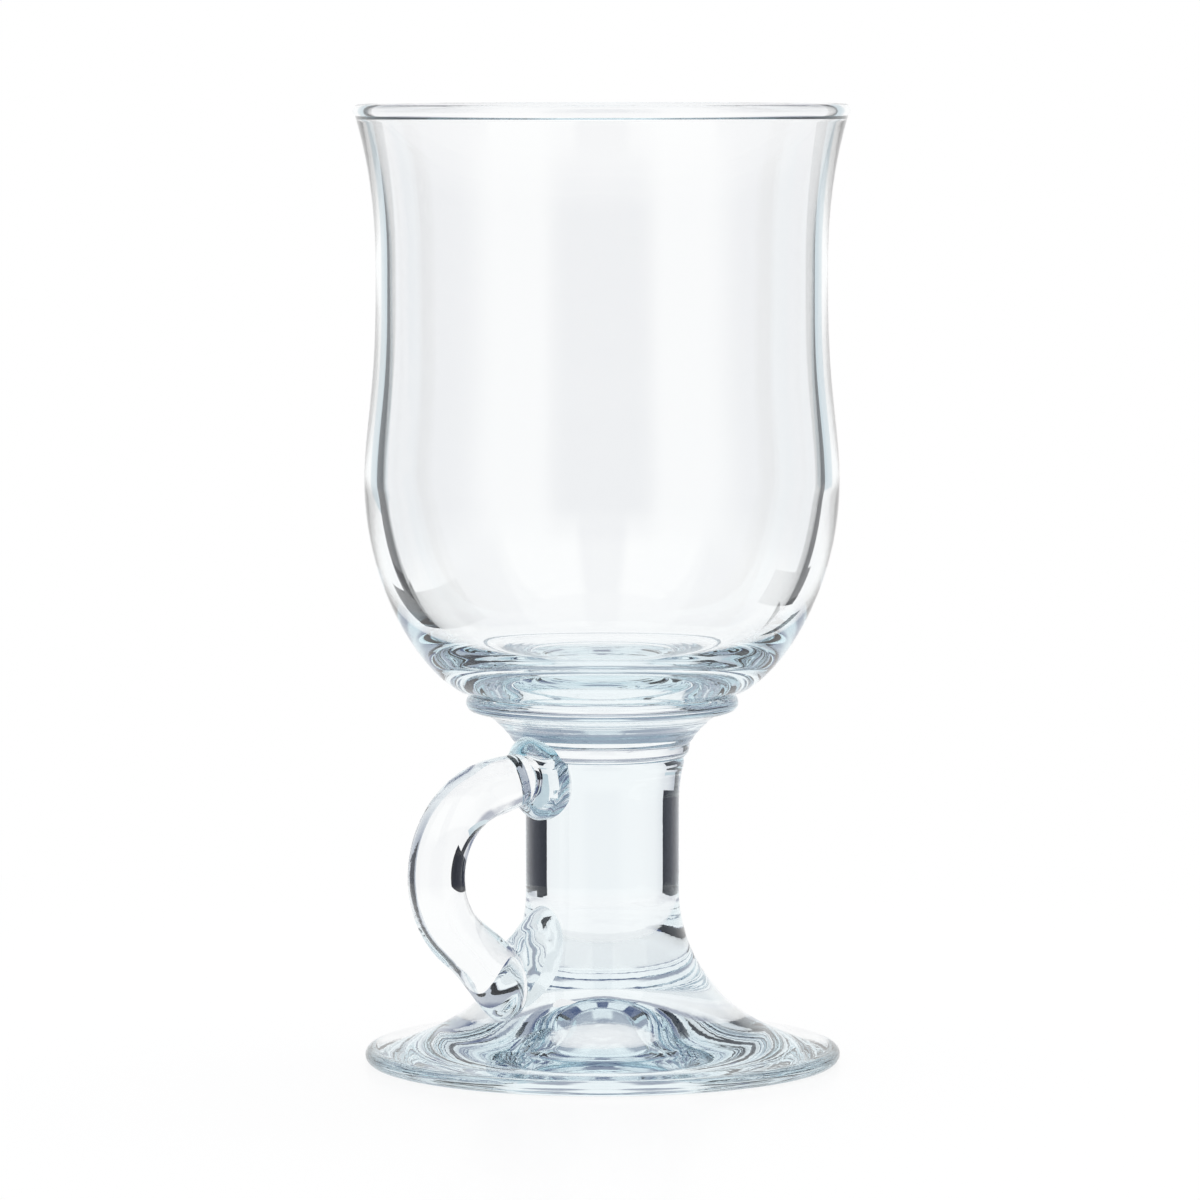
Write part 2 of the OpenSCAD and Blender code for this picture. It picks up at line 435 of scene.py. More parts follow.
@dataclass(frozen=True)
class ClearGlass:
    """Clear soda glass with a faint blue-green tint that deepens with its thickness."""

    name: str
    texture: Texture
    ior: float = 1.52
    roughness: float = 0.0
    tint: tuple[float, float, float, float] = (0.2, 0.66, 0.8, 1)
    density: float = 5.0

    def material(self) -> bpy.types.Material:
        """Builds the material, which lets light straight through where the piece is fused.

        Returns:
            The material.
        """
        material = bpy.data.materials.new(self.name)
        maker = NodeMaker(material)
        cap, seat = (
            maker.value("ShaderNodeAttribute", {"attribute_name": name}, out="Fac")
            for name in (FUSED, SEAT_DEPTH)
        )
        glass = maker.add(
            "ShaderNodeBsdfPrincipled",
            inputs={
                "Base Color": (1, 1, 1, 1),
                "Roughness": self.roughness,
                "IOR": self.ior,
                "Transmission Weight": 1.0,
                "Alpha": 1 - cap.either(seat > 0),
                "Normal": self._ripples(maker),
            },
        )
        inside = maker.add(
            "ShaderNodeVolumeAbsorption", inputs={"Color": self.tint, "Density": self.density}
        )
        maker.add(
            "ShaderNodeOutputMaterial",
            inputs={"Surface": glass.outputs[0], "Volume": inside.outputs[0]},
        )
        return material

    def _ripples(self, maker: NodeMaker) -> bpy.types.NodeSocket:
        """Adds the waves of this glass's surface.

        Args:
            maker: Adds the material's nodes.

        Returns:
            The bent normal.
        """
        normal = None
        at = maker.add("ShaderNodeTexCoord").outputs["Object"]
        for layer in RIPPLES[self.texture]:
            scaled = maker.add("ShaderNodeMapping", inputs={"Vector": at, "Scale": layer.stretch})
            waves = maker.add(
                "ShaderNodeTexNoise",
                inputs={
                    "Vector": scaled.outputs[0],
                    "Scale": 1 / layer.wave,
                    "Detail": layer.detail,
                    "Roughness": layer.roughness,
                },
            )
            given = {"Height": waves.outputs[0], "Distance": layer.depth, "Strength": 1.0}
            if normal is not None:
                given["Normal"] = normal
            normal = maker.add("ShaderNodeBump", inputs=given).outputs[0]
        return normal


def finish_piece(piece: bpy.types.Object, glass: ClearGlass, node: str) -> None:
    """Dresses a piece, puts it on the body and lets it stand for its node.

    Args:
        piece: The finished piece.
        glass: Its finish.
        node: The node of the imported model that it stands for.
    """
    piece.data.materials.clear()
    piece.data.materials.append(glass.material())
    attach(piece, "root")
    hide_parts(node)
    corners = [Vector(map(f, zip(*(v.co for v in piece.data.vertices)))) for f in (min, max)]
    size = (corners[1] - corners[0]) / MM
    LOG.info("%s: %d faces, %.1f x %.1f x %.1f mm", piece.name, len(piece.data.polygons), *size)


@dataclass
class Profile:
    """The heights, radii and steps that the turned gathers share, and the stem's side."""

    seat_z: float
    collar_z: float
    stem_z: float
    seat_r: float = 20.3 * MM
    belly_r: float = 36.1 * MM
    belly_rise: float = 32 * MM
    waist_r: float = 34.25 * MM
    waist_rise: float = 64.5 * MM
    crease: float = 0.45 * MM
    crease_h: float = 1.1 * MM
    stem_r: float = 11.7 * MM
    stem_top_r: float = 12.7 * MM
    stem_top_h: float = 7 * MM
    edge_t: float = 2.4 * MM
    stem_steps: int = 16
    turn_steps: int = 192

    def stem_side(self) -> list[Point]:
        """The stem's side, from its foot up to the collar.

        Returns:
            Its points.
        """
        low = self.collar_z - self.stem_top_h
        grow = self.stem_top_r - self.stem_r
        rise = shares(self.stem_steps)
        straight = [(self.stem_r, self.stem_z + (low - self.stem_z) * s) for s in rise]
        rise = bunched(shares(2 * self.stem_steps)[1:])
        flared = [(self.stem_r + grow * s * s, low + self.stem_top_h * s) for s in rise]
        return straight + [(self.creased(r, z), z) for r, z in flared]

    def creased(self, r: float, z: float) -> float:
        """Radius with the crease where the collar's band meets the stem."""
        return r - self.crease * max(0, 1 - abs(z - self.collar_z) / self.crease_h) ** 2


@dataclass
class Turned:
    """A gather of glass that is round about the axis."""

    profile: Profile

    def gather(
        self,
        name: str,
        node: str,
        slot: str,
        glass: ClearGlass,
        points: list[Point],
        seats: tuple[float, ...],
        pads: Sequence[BVHTree] = (),
        angle: float = SHARP,
    ) -> None:
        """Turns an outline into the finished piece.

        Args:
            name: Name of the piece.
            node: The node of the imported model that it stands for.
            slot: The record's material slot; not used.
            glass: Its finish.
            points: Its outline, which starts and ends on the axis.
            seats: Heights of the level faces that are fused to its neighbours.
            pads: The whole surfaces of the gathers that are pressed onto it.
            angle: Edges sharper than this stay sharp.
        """
        piece = turned(name, points, self.profile.turn_steps)
        smooth(piece, angle)
        mark_fused(piece, lambda at: min(abs(at.z - seat) for seat in seats) < SEAM / 2)
        if pads:
            mark_seats(piece, pads)
        finish_piece(piece, glass, node)


@dataclass
class Bowl(Turned):
    """Blown bowl: rounded lip, flared mouth, waist, belly and a thick floor.

    The powers shape the curves of its body, its inner cup and its mouth, and neck_fall says how
    fast the neck draws in above the belly.
    """

    rim_z: float
    mouth_r: float
    lip_r: float = 1.05 * MM
    lip_t: float = 1.3 * MM
    wall_t: float = 2.1 * MM
    belly_t: float = 2.8 * MM
    floor_t: float = 4.5 * MM
    body_powers: Pair = (1.9, 0.67)
    cup_powers: Pair = (1.45, 0.2)
    neck_fall: float = 4.8
    mouth_power: float = 2.2
    body_steps: int = 56
    wall_steps: int = 30
    lip_steps: int = 28
    floor_steps: int = 64

    @property
    def belly_z(self) -> float:
        """Height of the belly."""
        return self.profile.seat_z + self.profile.belly_rise

    @property
    def waist_z(self) -> float:
        """Height of the waist."""
        return self.profile.seat_z + self.profile.waist_rise

    def body(self, t: float) -> float:
        """Outer radius under the belly, 0 at the belly and 1 at the seat."""
        p, (low, high) = self.profile, self.body_powers
        return p.seat_r + (p.belly_r - p.seat_r) * (1 - t**low) ** high

    def bell(self, t: float) -> float:
        """Bell curve that falls from 1 to nearly 0."""
        return math.exp(-self.neck_fall * t * t)

    def neck(self, t: float) -> float:
        """Outer radius from the belly, at 0, to the waist, at 1."""
        p, end = self.profile, self.bell(1)
        return p.waist_r + (p.belly_r - p.waist_r) * (self.bell(t) - end) / (1 - end)

    def mouth(self, t: float) -> float:
        """Outer radius from the waist, at 0, to the thin wall under the lip, at 1."""
        throat_r = self.mouth_r - self.lip_r + self.lip_t / 2
        return self.profile.waist_r + (throat_r - self.profile.waist_r) * t**self.mouth_power

    def mouth_wall(self, t: float) -> float:
        """Thickness of the wall from the waist to the lip."""
        return self.wall_t + (self.lip_t - self.wall_t) * t * t

    def neck_wall(self, t: float) -> float:
        """Thickness of the wall from the belly to the waist."""
        return self.belly_t + (self.wall_t - self.belly_t) * (1 - math.cos(math.pi * t)) / 2

    def cup(self, t: float) -> float:
        """Inner radius from the belly, at 0, to the floor, at 1."""
        low, high = self.cup_powers
        return (self.profile.belly_r - self.belly_t) * (1 - t**low) ** high

    def outside(self, throat_z: float) -> list[Point]:
        """The outer side, from the seat up to the throat.

        Args:
            throat_z: Height at which the lip's round starts.

        Returns:
            Its points, without the one at the throat.
        """
        seat, belly, waist = self.profile.seat_z, self.belly_z, self.waist_z
        wall = shares(self.wall_steps)
        side = [(self.body(1 - s), seat + (belly - seat) * s) for s in shares(self.body_steps)]
        side += [(self.neck(s), belly + (waist - belly) * s) for s in wall[1:]]
        return side + [(self.mouth(s), waist + (throat_z - waist) * s) for s in wall[1:-1]]

    def inside(self, throat_z: float) -> list[Point]:
        """The inner side, from the throat down to the floor's middle.

        Args:
            throat_z: Height at which the lip's round ends.

        Returns:
            Its points, without the one at the throat.
        """
        belly, waist, floor_z = self.belly_z, self.waist_z, self.profile.seat_z + self.floor_t
        wall = shares(self.wall_steps)
        side = [
            (self.mouth(1 - s) - self.mouth_wall(1 - s), throat_z - (throat_z - waist) * s)
            for s in wall[1:-1]
        ]
        side += [
            (self.neck(1 - s) - self.neck_wall(1 - s), waist - (waist - belly) * s)
            for s in wall[:-1]
        ]
        drop = [math.sin(math.pi / 2 * s) for s in shares(self.floor_steps)]
        return side + [(self.cup(d), belly - (belly - floor_z) * d) for d in drop]

    def build(self) -> None:
        """Models the bowl, whose seat is fused to the collar."""
        seat, lip_z = self.profile.seat_z, self.rim_z - self.lip_r
        fall = math.acos(self.lip_t / self.lip_r / 2)
        throat_z, low = lip_z - self.lip_r * math.sin(fall), math.degrees(fall)
        centre = (self.mouth_r - self.lip_r, lip_z)
        lip = arc(centre, self.lip_r, -low, 180 + low, self.lip_steps)
        points = [(0, seat), *self.outside(throat_z), *lip, *self.inside(throat_z)]
        glass = ClearGlass("bowl glass", Texture.BLOWN)
        self.gather("blown_bowl", "bowl", "bowl_glass", glass, points, (seat,))


@dataclass
class Collar(Turned):
    """Stepped collar: a round ring under the bowl, a cove and a band, with fine turned ridges."""

    ring_r: float = 20.75 * MM
    ring_h: float = 2.7 * MM
    ring_stop: float = 60
    cove_h: float = 4.8 * MM
    cove_power: float = 0.55
    band_h: float = 2.2 * MM
    band_r: float = 13.35 * MM
    band_draw: float = 0.45 * MM
    ridges: int = 4
    ridge: float = 0.07 * MM
    band_steps: int = 20
    cove_steps: int = 48
    ring_steps: int = 18

    def cove(self, s: float) -> float:
        """Radius of the ridged cove from the band, at 0, to the ring, at 1."""
        sweep = (self.ring_r - self.ring_h / 2 - self.band_r) * (1 - (1 - s) ** self.cove_power)
        return self.band_r + sweep + self.ridge * (1 - math.cos(TURN * self.ridges * s)) / 2

    def band(self, s: float) -> float:
        """Radius of the band from its foot, at 0, to the cove, at 1."""
        return self.band_r - self.band_draw * (1 - s) ** 2

    def outline(self) -> list[Point]:
        """The outline from the lower face's middle to the upper face's middle.

        Returns:
            Its points.
        """
        low, top, bead_r = self.profile.collar_z, self.profile.seat_z, self.ring_h / 2
        band = [(self.band(s), low + self.band_h * s) for s in shares(self.band_steps)]
        band = [(self.profile.creased(r, z), z) for r, z in band]
        rise = bunched(shares(self.cove_steps)[1:-1])
        cove = [(self.cove(s), low + self.band_h + self.cove_h * s) for s in rise]
        centre = (self.ring_r - bead_r, top - bead_r)
        ring = arc(centre, bead_r, -90, self.ring_stop, self.ring_steps)
        return [(0, low), *band, *cove, *ring, (self.profile.seat_r, top), (0, top)]

    def build(self, pads: Sequence[BVHTree]) -> None:
        """Models the collar, which carries part of the upper pad.

        Args:
            pads: The whole surfaces of the gathers that are pressed onto the glass.
        """
        p = self.profile
        ends = {p.collar_z: p.collar_z + SEAM, p.seat_z: p.seat_z - SEAM}
        points = [(r, ends.get(z, z)) for r, z in self.outline()]
        glass, seats = ClearGlass("collar glass", Texture.PRESSED, density=2.5), tuple(ends.values())
        self.gather("stepped_collar", "collar", "collar_glass", glass, points, seats, pads)


@dataclass
class Stem(Turned):
    """Short solid stem with a slightly flared top."""

    def build(self, pads: Sequence[BVHTree]) -> None:
        """Models the stem, which carries both pads.

        Args:
            pads: The whole surfaces of the gathers that are pressed onto the glass.
        """
        p = self.profile
        points = [(0, p.stem_z), *p.stem_side(), (0, p.collar_z)]
        glass, seats = ClearGlass("stem glass", Texture.DRAWN), (p.stem_z, p.collar_z)
        self.gather("solid_stem", "stem", "stem_glass", glass, points, seats, pads)


@dataclass
class Foot(Turned):
    """Flared foot with a rounded edge, a flat rest ring and a bell-shaped kick under it.

    The powers shape its flare and spread the flare's rings.
    """

    foot_r: float = 36.3 * MM
    rest_inset: float = 2.2 * MM
    rest_w: float = 3 * MM
    skirt_rise: float = 1.6 * MM
    kick_r: float = 23 * MM
    kick_h: float = 6.4 * MM
    edge_stop: float = 60
    flare_powers: Pair = (0.6, 1.8)
    spread_power: float = 1.7
    sharp: float = 50
    edge_steps: int = 14
    flare_steps: int = 70
    hollow_steps: int = 72

    @property
    def rest_in_r(self) -> float:
        """Inner radius of the ring that the glass stands on."""
        return self.foot_r - self.rest_inset - self.rest_w

    def flare(self, z: float) -> float:
        """Outer radius at a height.

        Args:
            z: The height.

        Returns:
            The radius there.
        """
        p, (low, high) = self.profile, self.flare_powers
        share = (z - p.edge_t) / (p.stem_z - p.edge_t)
        edge = self.foot_r - p.edge_t / 4
        return p.stem_r + (edge - p.stem_r) * max(0, 1 - share**low) ** high

    def under(self, r: float) -> float:
        """Height of the hollow's surface at a radius."""
        kick = self.kick_h * (1 + math.cos(math.pi * r / self.kick_r)) / 2 if r < self.kick_r else 0
        return self.skirt_rise * (1 - r / self.rest_in_r) + kick

    def side(self) -> list[Point]:
        """The outside, from the rounded edge up to the stem.

        Returns:
            Its points.
        """
        p, edge_r = self.profile, self.profile.edge_t / 2
        centre = (self.foot_r - edge_r, edge_r)
        edge = arc(centre, edge_r, -self.edge_stop, self.edge_stop, self.edge_steps)
        rise = [s**self.spread_power for s in shares(self.flare_steps)[1:]]
        levels = [p.edge_t + (p.stem_z - p.edge_t) * s for s in rise]
        return edge + [(self.flare(z), z) for z in levels]

    def build(self, pads: Sequence[BVHTree]) -> None:
        """Models the foot, which carries the lower pad.

        Args:
            pads: The whole surfaces of the gathers that are pressed onto the glass.
        """
        p, top = self.profile, self.profile.stem_z - SEAM
        radii = [self.rest_in_r * s for s in shares(self.hollow_steps)]
        hollow = [(r, self.under(r)) for r in radii]
        side = [(r, top if z == p.stem_z else z) for r, z in self.side()]
        points = [*hollow, (self.foot_r - self.rest_inset, 0), *side, (0, top)]
        glass = ClearGlass("foot glass", Texture.PRESSED, density=3.6)
        self.gather("flared_foot", "foot", "foot_glass", glass, points, (top,), pads, self.sharp)


@dataclass(eq=False)
class Joined:
    """A gather of glass that is pressed onto the turned body while hot."""

    name: str
    node: str
    slot: str
    texture: Texture

    def seat(self, piece: bpy.types.Object, tools: list[bpy.types.Object]) -> None:
        """Cuts the gather to the glass that it is fused to, and dresses it.

        Args:
            piece: The whole gather.
            tools: That glass, grown by the seam.
        """
        graph = bpy.context.evaluated_depsgraph_get()
        seats = [BVHTree.FromObject(tool, graph) for tool in tools]
        for tool in tools:
            cut(piece, tool)
        smooth(piece)
        mark_fused(
            piece, lambda at: any(s.find_nearest(at, FUSED_REACH)[0] is not None for s in seats)
        )
        glass = ClearGlass(f"{self.name} glass", self.texture, density=3)
        finish_piece(piece, glass, self.node)


class RodEnd:
    """The open end of a rod that is drawn out in edit mode."""

    def __init__(self, middle: Vector, radius: float) -> None:
        """Starts at the rod's first ring."""
        self.middle, self.radius = middle, radius

    def ring(self, middle: Vector, radius: float) -> None:
        """Draws the rod out to its next ring.

        Args:
            middle: The ring's middle.
            radius: Its radius.
        """
        bpy.ops.mesh.extrude_region_move(TRANSFORM_OT_translate={"value": middle - self.middle})
        bpy.ops.transform.resize(value=(radius / self.radius,) * 3, center_override=middle)
        self.middle, self.radius = middle, radius


@dataclass(eq=False)
class Handle(Joined):
    """Round rod: a round upper end, a leg, a bend, and a leg that droops to a thicker round end.

    Each round end starts or stops at a tiny ring round its pole, at the angle in pole, in radians.
    """

    profile: Profile
    rod_r: float = 4.3 * MM
    end_r: float = 3.85 * MM
    bulb_r: float = 5.0 * MM
    reach: float = 36.7 * MM
    bend_r: float = 12.9 * MM
    upper_drop: float = 3.1 * MM
    upper_lean: float = 11
    lower_lean: float = 36
    droop: float = 14
    upper_gap: float = 5 * MM
    lower_leg: float = 9.4 * MM
    pole: float = 0.05
    sides: int = 56
    end_steps: int = 12
    leg_steps: int = 10
    bend_steps: int = 56
    droop_steps: int = 14
    bulb_steps: int = 14

    @property
    def centre(self) -> Vector:
        """Centre of the bend."""
        height = self.profile.collar_z - self.upper_drop - self.bend_r
        return OUT * (self.reach - self.rod_r - self.bend_r) + UP * height

    def off_bend(self, lean: float, side: int) -> Vector:
        """Where a leaning leg leaves the bend, on its upper side, 1, or its lower side, -1."""
        a = math.radians(lean)
        return self.centre + self.bend_r * (math.sin(a) * OUT + side * math.cos(a) * UP)

    @property
    def upper_end(self) -> Vector:
        """Centre of the rod's round upper end."""
        way, start = heading(self.upper_lean), self.off_bend(self.upper_lean, 1)
        return start + way * ((start.y - self.profile.stem_r - self.upper_gap) / -way.y)

    def model(self, grow: float = 0) -> bpy.types.Object:
        """Models the whole rod from its upper end.

        Args:
            grow: What is added to its radius.

        Returns:
            The closed rod.
        """
        full_r = self.end_r + grow
        tip = self.upper_end + heading(self.upper_lean) * full_r * math.cos(self.pole)
        tip_r = full_r * math.sin(self.pole)
        deselect()
        bpy.ops.mesh.primitive_circle_add(
            vertices=self.sides, radius=tip_r, fill_type="TRIFAN", location=tip,
            rotation=(math.radians(90 - self.upper_lean), 0, 0),
        )
        piece = bpy.context.object
        piece.name = piece.data.name = self.name
        bpy.ops.object.transform_apply(location=True, rotation=True, scale=True)
        edit("FACE")
        end = RodEnd(tip, tip_r)
        self._draw_upper(end, grow)
        swing = math.radians(180 - self.upper_lean - self.lower_lean)
        bpy.ops.mesh.spin(steps=self.bend_steps, angle=swing, center=self.centre, axis=SIDE)
        end.middle = self.off_bend(self.lower_lean, -1)
        self._draw_lower(end, grow)
        bpy.ops.object.mode_set(mode="OBJECT")
        close_up(piece)
        return piece

    def _draw_upper(self, end: RodEnd, grow: float) -> None:
        """Draws the round upper end and its leg, down to the bend.

        Args:
            end: The rod's open end.
            grow: What is added to its radius.
        """
        way, full_r = heading(self.upper_lean), self.end_r + grow
        for s in shares(self.end_steps)[1:]:
            a = self.pole + (math.pi / 2 - self.pole) * s
            end.ring(self.upper_end + way * full_r * math.cos(a), full_r * math.sin(a))
        start = self.off_bend(self.upper_lean, 1)
        for s in shares(self.leg_steps)[1:]:
            thicker = (self.rod_r - self.end_r) * math.sin(math.pi / 2 * s)
            end.ring(self.upper_end.lerp(start, s), self.end_r + thicker + grow)

    def _draw_lower(self, end: RodEnd, grow: float) -> None:
        """Draws the lower leg, which droops and thickens, and its round end.

        Args:
            end: The rod's open end.
            grow: What is added to its radius.
        """
        turned_by = 0.0
        for s in shares(self.droop_steps)[1:]:
            lean = self.lower_lean + self.droop * s
            middle = end.middle + heading(-lean) * self.lower_leg / self.droop_steps
            end.ring(middle, self.rod_r + (self.bulb_r - self.rod_r) * eased(s) + grow)
            more = math.radians(lean - self.lower_lean - turned_by)
            bpy.ops.transform.rotate(value=more, orient_axis="X", center_override=middle)
            turned_by = lean - self.lower_lean
        bulb, way, full_r = end.middle, heading(-self.lower_lean - self.droop), self.bulb_r + grow
        for s in shares(self.bulb_steps)[1:]:
            a = (math.pi / 2 - self.pole) * s
            end.ring(bulb + way * full_r * math.sin(a), full_r * math.cos(a))


@dataclass(eq=False)
class Pad(Joined):
    """Gather of glass that joins one end of the rod to the stem.

    It is lofted from a round inside the rod to an upright oval inside the stem. Its rings turn from
    the rod's lean to upright on the way, and swell as hot glass does where it is pressed on. They
    start to swell at the share of the way in lag, and are full at the one in swell.
    """

    start: Vector
    lean: float
    start_r: float
    goal: Vector
    half_height: float
    half_width: float
    lag: float
    swell: float
    knee_share: float = 0.45
    lump: float = 0.24 * MM
    lump_size: float = 2.4 * MM
    rings: int = 40
    sides: int = 72

    def place(self, unit: Vector) -> Vector:
        """Maps a point of a tube, 1 long and 1 in radius, onto the pad.

        Args:
            unit: The point, with its share of the way in x.

        Returns:
            Its place on the pad.
        """
        share, bend = unit.x, (self.goal - self.start).length * self.knee_share
        turn = math.radians(self.lean) * (1 - eased(share))
        up = math.sin(turn) * OUT + math.cos(turn) * UP
        knee = self.start + heading(self.lean) * bend
        middle = (1 - share) ** 2 * self.start + 2 * share * (1 - share) * knee
        middle += share**2 * self.goal
        grow = eased(min(1.0, max(0.0, (share - self.lag) / (self.swell - self.lag))))
        high = self.start_r + (self.half_height - self.start_r) * grow
        wide = self.start_r + (self.half_width - self.start_r) * grow
        at = middle + up * (high * unit.z) + SIDE * (wide * unit.y)
        lumps = noise.noise(at / self.lump_size) * self.lump
        lumps *= math.sin(math.pi * min(1.0, share / self.swell))
        return at + (up * unit.z + SIDE * unit.y) * lumps

    def model(self) -> bpy.types.Object:
        """Models the whole pad, with the parts of it that are inside the rod and the stem.

        Returns:
            The closed pad.
        """
        deselect()
        bpy.ops.mesh.primitive_circle_add(
            vertices=self.sides, radius=1, fill_type="NGON", rotation=(0, math.pi / 2, 0)
        )
        piece = bpy.context.object
        piece.name = piece.data.name = self.name
        bpy.ops.object.transform_apply(location=False, rotation=True, scale=False)
        edit("FACE")
        step = (1 / self.rings, 0, 0)
        for _ in range(self.rings):
            bpy.ops.mesh.extrude_region_move(TRANSFORM_OT_translate={"value": step})
        bpy.ops.object.mode_set(mode="OBJECT")
        for vertex in piece.data.vertices:
            vertex.co = self.place(vertex.co)
        close_up(piece)
        return piece


@dataclass(frozen=True)
class Card:
    """Upright card beside the object, seen only through the glass.

    It stands at a distance right of the object, as the camera sees it, and spans a stretch ahead of
    the object and a stretch of heights.
    """

    name: str
    right: float
    ahead: Pair
    heights: Pair
    colour: Colour


LEFT, NEAR_RIGHT, RIGHT = -0.075, 0.06, 0.12
CARD_TOP = 0.25
DARK: Colour = (0.008, 0.009, 0.012)
TEAL: Colour = (0.58, 0.68, 0.73)
CARDS = (
    Card("low_left_card", LEFT, ahead=(-0.02, 0.1), heights=(0.005, 0.044), colour=DARK),
    Card("high_left_card", LEFT, ahead=(0.032, 0.057), heights=(0.036, CARD_TOP), colour=DARK),
    Card("teal_left_card", LEFT, ahead=(0.057, 0.1), heights=(0.066, CARD_TOP), colour=TEAL),
    Card("low_right_card", RIGHT, ahead=(0.02, 0.13), heights=(0, 0.03), colour=DARK),
    Card("near_right_card", NEAR_RIGHT, ahead=(0.065, 0.098), heights=(0.006, 0.036), colour=DARK),
    Card("high_right_card", RIGHT, ahead=(0.068, 0.114), heights=(0.03, CARD_TOP), colour=DARK),
    Card("teal_right_card", RIGHT, ahead=(0.114, 0.2), heights=(0.066, CARD_TOP), colour=TEAL),
)


@dataclass
class Studio:
    """White backdrop, pale floor, cards beside the object and one soft box above and behind it.

    The room that the glass shows has a grey level at each angle from the camera's own direction:
    room for its walls, above for their upper part, and one level for its roof. Its zones are
    heights on the sphere of directions, and the floor's zones are distances from the axis.
    """

    distance: float = 0.98
    eye_height: float = 0.1523
    azimuth: float = 230
    pitch: float = 4.76
    roll: float = -0.06
    lens: float = 193.9
    sensor: float = 36
    shift: float = -0.0018
    clip: Pair = (0.01, 50)
    room: tuple[Pair, ...] = (
        (0, 0.22),
        (16, 0.22),
        (34, 0.82),
        (56, 0.82),
        (80, 0.35),
        (100, 0.38),
        (120, 0.55),
        (137, 0.85),
        (150, 1),
    )
    above: tuple[Pair, ...] = (
        (0, 0.03),
        (12, 0.03),
        (17, 1),
        (62, 1),
        (68, 0.06),
        (122, 0.06),
        (130, 0.4),
        (165, 0.4),
        (172, 1),
    )
    roof: float = 0.4
    above_zone: Pair = (0.3, 0.45)
    roof_zone: Pair = (0.86, 0.9)
    ground_zone: Pair = (-0.27, -0.42)
    green_share: float = 0.03
    blue_share: float = 0.15
    floor_size: float = 1.2
    floor_drop: float = 0.02 * MM
    floor_colour: Colour = (0.95, 0.95, 0.96)
    glow_zone: Pair = (0.04, 0.25)
    glow_levels: Pair = (0.86, 1.0)
    clear_zone: Pair = (0.08, 0.12)
    aim_height: float = 0.07
    bounces: int = 24

    def toward(self, azimuth: float = 0) -> Vector:
        """Level direction from the object, at an angle from the camera's own."""
        turn = math.radians(self.azimuth + azimuth)
        return Vector((math.sin(turn), -math.cos(turn), 0))

    def camera(self) -> None:
        """Sets the camera at the photograph's viewing angle."""
        where = self.toward() * self.distance + UP * self.eye_height
        deselect()
        bpy.ops.object.camera_add(location=where)
        camera = bpy.context.object
        turn, tip, roll = (math.radians(a) for a in (self.azimuth, 90 - self.pitch, self.roll))
        tilt = Matrix.Rotation(turn, 4, "Z") @ Matrix.Rotation(tip, 4, "X")
        camera.matrix_world = Matrix.Translation(where) @ tilt @ Matrix.Rotation(roll, 4, "Z")
        camera.data.lens, camera.data.sensor_width = self.lens, self.sensor
        camera.data.shift_x = self.shift
        camera.data.clip_start, camera.data.clip_end = self.clip
        bpy.context.scene.camera = camera

    def world(self) -> None:
        """Sets the world: white for the camera and diffuse rays, and the room for the glass."""
        world = bpy.data.worlds.new("backdrop")
        bpy.context.scene.world = world
        maker = NodeMaker(world)
        path = maker.add("ShaderNodeLightPath").outputs
        white, room = (
            maker.add("ShaderNodeBackground", inputs={"Color": colour, "Strength": 1.0}).outputs[0]
            for colour in ((1, 1, 1, 1), self._room(maker))
        )
        plain = Value(maker, path["Is Camera Ray"]) + Value(maker, path["Is Diffuse Ray"])
        mixed = maker.add("ShaderNodeMixShader", inputs={0: plain, 1: room, 2: white})
        maker.add("ShaderNodeOutputWorld", inputs={"Surface": mixed.outputs[0]})

    def _room(self, maker: NodeMaker) -> bpy.types.NodeSocket:
        """How bright the room is in each direction round the object, down to its white ground.

        Args:
            maker: Adds the world's nodes.

        Returns:
            The room's colour.
        """
        x, y, z = maker.place("Generated")
        camera = self.toward()
        facing = (x * camera.x + y * camera.y) / (x.squared() + y.squared()).root()
        away = 0.5 - facing * 0.5
        around, above = (
            maker.value("ShaderNodeValToRGB", {"stops": self._stops(levels)}, {"Fac": away})
            for levels in (self.room, self.above)
        )
        walls = around + maker.across(z, self.above_zone) * (above - around)
        roofed = walls + maker.across(z, self.roof_zone) * (self.roof - walls)
        grey = roofed + maker.across(z, self.ground_zone) * (1 - roofed)
        green, blue = (grey + (1 - grey) * share for share in (self.green_share, self.blue_share))
        inputs = {"Red": grey, "Green": green, "Blue": blue}
        return maker.add("ShaderNodeCombineColor", inputs=inputs).outputs[0]

    @staticmethod
    def _stops(levels: tuple[Pair, ...]) -> list[tuple[float, tuple[float, ...]]]:
        """Turns levels at angles from the camera's own direction into a ramp's stops."""
        places = [(1 - math.cos(math.radians(angle))) / 2 for angle, _ in levels]
        return [(place, (level, level, level, 1)) for place, (_, level) in zip(places, levels)]

    def floor(self) -> None:
        """Lays a pale floor that keeps a soft shadow and a faint reflection."""
        deselect()
        bpy.ops.mesh.primitive_plane_add(size=self.floor_size, location=UP * -self.floor_drop)
        floor = bpy.context.object
        floor.name = "floor"
        bpy.ops.object.transform_apply(location=True)
        floor.data.materials.append(self._floor_material())

